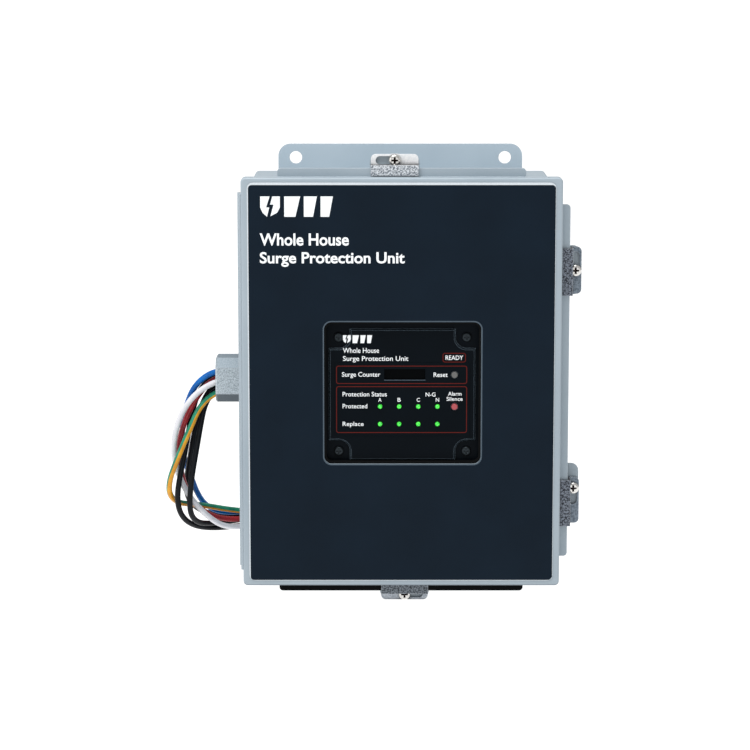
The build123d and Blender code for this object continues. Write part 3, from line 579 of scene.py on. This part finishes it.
emblem("module_emblem", millimetres(-39.1, -19.6, 26.9, 32.3), PANEL_FACE, "enclosure")
MODULE_TEXT = [
    ("title_1", "Whole House", (-39.1, -15.0, 20.3, 23.7), PANEL_FACE),
    ("title_2", "Surge Protection Unit", (-39.1, 4.6, 13.9, 18.2), PANEL_FACE),
    ("badge", "READY", (29.4, 41.2, 15.6, 18.6), PANEL_FACE),
    ("counter", "Surge Counter", (-39.8, -14.2, 3.3, 7.4), OVERLAY_FACE),
    ("reset", "Reset", (21.5, 30.9, 4.1, 7.1), OVERLAY_FACE),
    ("status", "Protection Status", (-39.4, -9.8, -9.1, -6.0), OVERLAY_FACE),
    ("neutral", "N-G", (16.2, 22.8, -9.2, -6.4), OVERLAY_FACE),
    ("protected", "Protected", (-39.4, -22.9, -17.2, -14.2), OVERLAY_FACE),
    ("replace", "Replace", (-39.4, -25.3, -30.1, -26.3), OVERLAY_FACE),
    ("alarm", "Alarm", (31.2, 40.2, -8.6, -5.9), OVERLAY_FACE),
    ("silence", "Silence", (30.2, 41.0, -12.1, -9.4), OVERLAY_FACE),
    ("column_1", "A", (-15.5, -13.3, -12.7, -10.1), OVERLAY_FACE),
    ("column_2", "B", (-2.6, -0.5, -12.7, -10.1), OVERLAY_FACE),
    ("column_3", "C", (10.2, 12.4, -12.7, -10.1), OVERLAY_FACE),
    ("column_4", "N", (23.0, 25.2, -12.7, -10.1), OVERLAY_FACE),
]
for label, words, box, face in MODULE_TEXT:
    lettering(f"print_{label}", words, millimetres(*box), face, "enclosure",
              bold=0.006)

RED_BOXES = [
    ("counter_box", (-43.7, 43.9, -0.6, 11.7), OVERLAY_FACE),
    ("status_box", (-43.7, 43.9, -33.9, -2.2), OVERLAY_FACE),
    ("badge_box", (27.5, 43.0, 13.9, 20.3), PANEL_FACE),
]
for label, box, face in RED_BOXES:
    outline_piece(label, millimetres(*box), RED_BOX_CORNER, RED_BOX_LINE, face, "enclosure",
                  "red_ink")

BEVEL_SPREAD = 0.3 * MM
BEVEL_DROP = 0.35 * MM
BEVEL_RISE = 0.12 * MM


def counter_bevel_highlight(shape):
    """The strip under the counter: a painted highlight where its bevel catches the light."""
    low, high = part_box("counter_display")
    edge = [(low.x - BEVEL_SPREAD, low.z), (high.x + BEVEL_SPREAD, low.z),
            (high.x, low.z - BEVEL_DROP), (low.x, low.z - BEVEL_DROP)]
    prism(shape, edge, OVERLAY_FACE, OVERLAY_FACE - BEVEL_RISE)


mesh_piece("counter_bevel_highlight", counter_bevel_highlight, "enclosure", "shade_and_highlight_grey")

# ---- leads --------------------------------------------------------------------------------
WIRE_RADIUS = 0.002
WIRE_LENGTH = 0.86
COIL_CENTRE = Vector((-0.030, 0.073, 0.0))
COIL_RADIUS = 0.052
TIE = 0.001
COIL_BASE = FLOOR + TIE
TURN_RISE = 0.0079              # from one turn to the one on it
RISE_STARTS = math.radians(300)
MOST_TURN = math.radians(712)   # just under two turns
COIL_STEP = math.radians(18)
TUBE_SIDES = 24
HALF_STRIPE = 4                 # faces on each side of the stripe's middle
STRIPE_PITCH = 0.7
CONDUCTOR_RADIUS = 0.0013
CONDUCTOR_BARE = 0.0015

# The points of each lead in millimetres, the same as the CAD's.
ROUTES = {
    "blue": [
        (-110.0, -55.0, 0.6), (-121.5, -55.0, 0.6), (-133.0, -54.2, -2.6), (-142.8, -50.5, -12.0),
        (-148.6, -45.5, -26.0), (-151.6, -40.0, -40.0), (-152.6, -34.0, -55.0), (-151.2, -26.8, -70.0),
        (-147.0, -17.8, -83.5), (-144.2, -9.5, -95.0), (-139.6, -1.0, -105.0), (-132.0, 6.0, -111.5),
        (-122.0, 10.8, -113.8),
    ],
    "red": [
        (-110.0, -51.2, -2.9), (-121.0, -51.4, -3.6), (-132.0, -52.0, -8.2), (-140.5, -52.2, -18.5),
        (-147.0, -50.0, -31.0), (-152.4, -45.5, -45.0), (-155.0, -39.8, -60.0), (-153.6, -33.8, -75.0),
        (-150.6, -27.8, -89.5), (-145.2, -21.8, -100.5), (-137.7, -15.5, -108.5), (-129.2, -8.5, -113.6),
        (-119.5, -0.5, -116.4),
    ],
    "white": [
        (-110.0, -57.0, -5.2), (-121.0, -57.2, -5.8), (-132.5, -57.6, -9.6), (-143.5, -57.2, -18.0),
        (-151.6, -54.8, -30.5), (-156.6, -50.5, -45.5), (-158.0, -44.8, -60.5), (-155.4, -39.8, -75.0),
        (-150.5, -35.0, -88.0), (-144.0, -30.0, -99.0), (-136.0, -24.0, -109.0), (-127.2, -15.5, -117.4),
        (-117.5, -4.8, -121.4),
    ],
    "black_1": [
        (-110.0, -50.4, -9.6), (-120.5, -50.6, -10.3), (-129.5, -51.0, -15.5), (-135.4, -51.3, -24.3),
        (-138.4, -51.2, -39.1), (-141.1, -50.0, -54.2), (-143.8, -47.8, -68.5), (-146.0, -44.2, -82.0),
        (-147.4, -39.0, -95.0), (-147.2, -32.5, -106.5), (-142.8, -23.0, -114.2), (-134.5, -10.2, -117.4),
        (-124.0, 2.4, -118.8),
    ],
    "black_2": [
        (-110.0, -47.2, -1.4), (-121.0, -47.2, -2.0), (-132.0, -47.4, -6.4), (-140.5, -47.2, -17.0),
        (-144.5, -46.2, -31.0), (-147.4, -45.6, -46.0), (-150.2, -45.2, -61.0), (-153.4, -44.0, -75.5),
        (-155.8, -40.8, -89.0), (-155.6, -35.0, -102.0), (-151.4, -26.0, -112.0), (-144.0, -15.0, -118.5),
        (-133.5, -4.0, -122.0), (-121.5, 5.5, -123.2),
    ],
    "black_3": [
        (-110.0, -45.4, -6.4), (-120.8, -45.4, -7.2), (-130.0, -45.4, -12.6), (-136.4, -44.6, -21.8),
        (-140.9, -42.6, -35.8), (-144.4, -39.0, -50.5), (-147.0, -33.5, -65.0), (-149.8, -26.5, -79.0),
        (-151.4, -17.5, -91.5), (-149.6, -7.0, -102.0), (-143.5, 2.5, -110.0), (-134.5, 10.0, -115.0),
        (-123.0, 15.0, -117.2),
    ],
    "green": [
        (-110.0, -54.6, -13.0), (-120.5, -54.7, -13.2), (-131.0, -55.3, -17.4), (-139.5, -56.3, -26.5),
        (-145.3, -56.6, -40.5), (-151.0, -55.0, -53.5), (-156.3, -52.0, -66.5), (-160.7, -47.3, -78.5),
        (-161.8, -39.5, -90.0), (-157.0, -28.5, -98.5), (-147.5, -16.5, -102.0), (-136.5, -6.0, -105.5),
        (-124.0, 1.8, -109.5),
    ],
}
BEHIND = {                      # where each lead turns in behind the box, as Y and Z
    "blue": (13.0, -113.2),
    "red": (6.0, -117.4),
    "white": (8.2, -122.4),
    "black_1": (12.0, -118.2),
    "black_2": (13.8, -123.4),
    "black_3": (18.0, -118.6),
    "green": (7.4, -112.4),
}
STRANDS = {                     # place in the coil: outwards from the middle, and above its base
    "blue": (-4.6, 6.0),
    "red": (6.9, 2.05),
    "white": (2.3, 2.05),
    "black_1": (0.0, 6.0),
    "black_2": (-2.3, 2.05),
    "black_3": (-6.9, 2.05),
    "green": (4.6, 6.0),
}
DESCENT = (                     # X, then how far along in Y and in Z from the turn to the coil
    (-108.0, 0.0, 0.0),
    (-94.0, 0.42, 0.13),
    (-78.5, 0.72, 0.42),
    (-62.0, 0.9, 0.78),
    (-45.5, 1.0, 1.0),
)


def lead_route(name):
    """The points of one lead from the hub's mouth to the coil, in metres."""
    y, z = (value * MM for value in BEHIND[name])
    outwards, above = (value * MM for value in STRANDS[name])
    aside = DESCENT[-1][0] * MM - COIL_CENTRE.x
    end_y = COIL_CENTRE.y - math.sqrt((COIL_RADIUS + outwards) ** 2 - aside ** 2)
    end_z = COIL_BASE + above
    points = [Vector(point) * MM for point in ROUTES[name]]
    for x, part_y, part_z in DESCENT:
        points.append(Vector((x * MM, y + (end_y - y) * part_y, z + (end_z - z) * part_z)))
    return points


def coil_points(name, so_far):
    """The points of one lead's turns in the coil, for the length that is left of it."""
    outwards, above = (value * MM for value in STRANDS[name])
    radius = COIL_RADIUS + outwards
    start = math.pi + math.acos(-(DESCENT[-1][0] * MM - COIL_CENTRE.x) / radius)
    turned = min((WIRE_LENGTH - so_far) / radius, MOST_TURN)
    steps = math.ceil(turned / COIL_STEP)
    points = []
    for step in range(1, steps + 1):
        angle = turned * step / steps
        climb = min(max((angle - RISE_STARTS) / (2 * math.pi - RISE_STARTS), 0), 1)
        height = COIL_BASE + above + TURN_RISE * climb
        points.append(Vector((COIL_CENTRE.x + radius * math.cos(start + angle),
                              COIL_CENTRE.y + radius * math.sin(start + angle), height)))
    return points


def spline_curve(name, points, radius):
    """A smooth tube along a NURBS spline with these control points."""
    curve = bpy.data.curves.new(name, "CURVE")
    curve.dimensions = "3D"
    spline = curve.splines.new("NURBS")
    spline.points.add(len(points) - 1)
    for control, point in zip(spline.points, points):
        control.co = (*point, 1.0)
    spline.order_u = 3
    spline.use_endpoint_u = True
    spline.resolution_u = 6
    curve.bevel_depth = radius
    curve.bevel_resolution = 5
    curve.use_fill_caps = True
    return bpy.data.objects.new(name, curve)


def centreline(points):
    """The line that a spline with these control points draws."""
    bare = spline_curve("centreline", points, 0)
    bpy.context.scene.collection.objects.link(bare)
    bpy.context.view_layer.update()
    graph = bpy.context.evaluated_depsgraph_get()
    mesh = bpy.data.meshes.new_from_object(bare.evaluated_get(graph))
    line = [vertex.co.copy() for vertex in mesh.vertices]
    bpy.data.objects.remove(bare)
    return line


def line_length(line):
    return sum((b - a).length for a, b in zip(line, line[1:]))


def striped_tube(name, line, radius, facing):
    """A closed tube along a line, with a stripe that starts out facing one way and winds slowly round."""
    mesh = bpy.data.meshes.new(name)
    shape = bmesh.new()
    forward = (line[1] - line[0]).normalized()
    side = (facing - forward * facing.dot(forward)).normalized()
    rings, travelled = [], 0.0
    for i, point in enumerate(line):
        ahead = (line[min(i + 1, len(line) - 1)] - line[max(i - 1, 0)]).normalized()
        side = (forward.rotation_difference(ahead) @ side).normalized()
        forward = ahead
        across = forward.cross(side)
        turn = 2 * math.pi * travelled / STRIPE_PITCH
        ring = []
        for k in range(TUBE_SIDES):
            angle = 2 * math.pi * k / TUBE_SIDES + turn
            outwards = side * math.cos(angle) + across * math.sin(angle)
            ring.append(shape.verts.new(point + outwards * radius))
        rings.append(ring)
        if i + 1 < len(line):
            travelled += (line[i + 1] - point).length
    for first, second in zip(rings, rings[1:]):
        for k in range(TUBE_SIDES):
            j = (k + 1) % TUBE_SIDES
            face = shape.faces.new((first[k], first[j], second[j], second[k]))
            face.material_index = int(k < HALF_STRIPE or k >= TUBE_SIDES - HALF_STRIPE)
            face.smooth = True
    shape.faces.new(rings[0][::-1])
    shape.faces.new(rings[-1])
    bmesh.ops.recalc_face_normals(shape, faces=shape.faces)
    shape.to_mesh(mesh)
    shape.free()
    return bpy.data.objects.new(name, mesh)


STRIPE_FACING = Vector((0, -0.2, -0.98))
LEAD_MATERIAL = {name: "wire_" + name.split("_")[0] for name in ROUTES}
for name in ROUTES:
    points = lead_route(name)
    points += coil_points(name, line_length(centreline(points)))
    line = centreline(points)
    material = LEAD_MATERIAL[name]
    if name == "green":
        lead = striped_tube("lead_green", line, WIRE_RADIUS, STRIPE_FACING)
        striped = [face.material_index for face in lead.data.polygons]
        finish_piece(lead, "enclosure", material)
        lead.data.materials.append(MATERIALS["wire_yellow"])
        lead.data.polygons.foreach_set("material_index", striped)
    else:
        lead = spline_curve(f"lead_{name}", points, WIRE_RADIUS)
        finish_piece(lead, "enclosure", material)
    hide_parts(f"wire_{name}")
    # the cut conductor that shows in the lead's end
    reach = (line[-1] - line[-2]).normalized() * CONDUCTOR_BARE
    stub = spline_curve(f"conductor_{name}", [line[-1] - reach, line[-1], line[-1] + reach],
                        CONDUCTOR_RADIUS)
    finish_piece(stub, "enclosure", "copper")

# The coil is drawn by the leads themselves.
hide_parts("wire_coil")

# Inside the box the seven leads run on, each in its own colour, to the module's grommet.
GROMMET_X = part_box("inner_leads")[1].x
for name, route in ROUTES.items():
    start = Vector(route[0]) * MM
    end = Vector((GROMMET_X, start.y, start.z))
    inner = spline_curve(f"inner_{name}", [start, start.lerp(end, 0.5), end], WIRE_RADIUS)
    finish_piece(inner, "enclosure", LEAD_MATERIAL[name])
    if name == "blue":
        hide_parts("inner_leads")

# ---- floor, light and camera -----------------------------------------------------------------
FLOOR_REACH = 40.0
floor_mesh = bpy.data.meshes.new("floor")
corners = [(x * FLOOR_REACH, y * FLOOR_REACH, FLOOR) for x, y in ((-1, -1), (1, -1), (1, 1), (-1, 1))]
floor_mesh.from_pydata(corners, [], [(0, 1, 2, 3)])
floor = bpy.data.objects.new("floor", floor_mesh)
bpy.context.scene.collection.objects.link(floor)
plain = Nodes("floor_white")
plain.set(Base_Color=(0.25, 0.25, 0.25, 1.0), Roughness=0.9, Specular_IOR_Level=0.0,
          Emission_Color=(1, 1, 1, 1), Emission_Strength=1.0)
floor.data.materials.append(plain.material)

world = bpy.data.worlds.new("studio")
world.use_nodes = True
background = world.node_tree.nodes["Background"]
background.inputs["Color"].default_value = (1.0, 1.0, 1.0, 1.0)
background.inputs["Strength"].default_value = 0.55
bpy.context.scene.world = world
bpy.context.scene.view_settings.view_transform = "Standard"


def soft_light(name, place, aim, size, power):
    """A square softbox that looks at a point."""
    data = bpy.data.lights.new(name, "AREA")
    data.shape = "SQUARE"
    data.size = size
    data.energy = power
    light = bpy.data.objects.new(name, data)
    light.location = place
    light.rotation_euler = (Vector(aim) - Vector(place)).to_track_quat("-Z", "Y").to_euler()
    bpy.context.scene.collection.objects.link(light)


soft_light("softbox_top", (-0.2, -0.4, 1.4), (0, 0, 0), 0.9, 18)
soft_light("softbox_left", (-1.3, -1.0, 0.5), (-0.05, -0.05, 0), 0.8, 4)

SENSOR = 36.0                   # millimetres, as the lens is
LENS = 131.2
VIEW_DISTANCE = 1.88
VIEW_PITCH = math.radians(9.14)
VIEW_AIM = Vector((-0.0177, -0.057, -0.0029))
camera_data = bpy.data.cameras.new("camera")
camera_data.sensor_width = SENSOR
camera_data.lens = LENS
camera_data.clip_end = 100
camera = bpy.data.objects.new("camera", camera_data)
forward = Vector((0, math.cos(VIEW_PITCH), -math.sin(VIEW_PITCH)))
camera.location = VIEW_AIM - forward * VIEW_DISTANCE
camera.rotation_euler = forward.to_track_quat("-Z", "Y").to_euler()
bpy.context.scene.collection.objects.link(camera)
bpy.context.scene.camera = camera
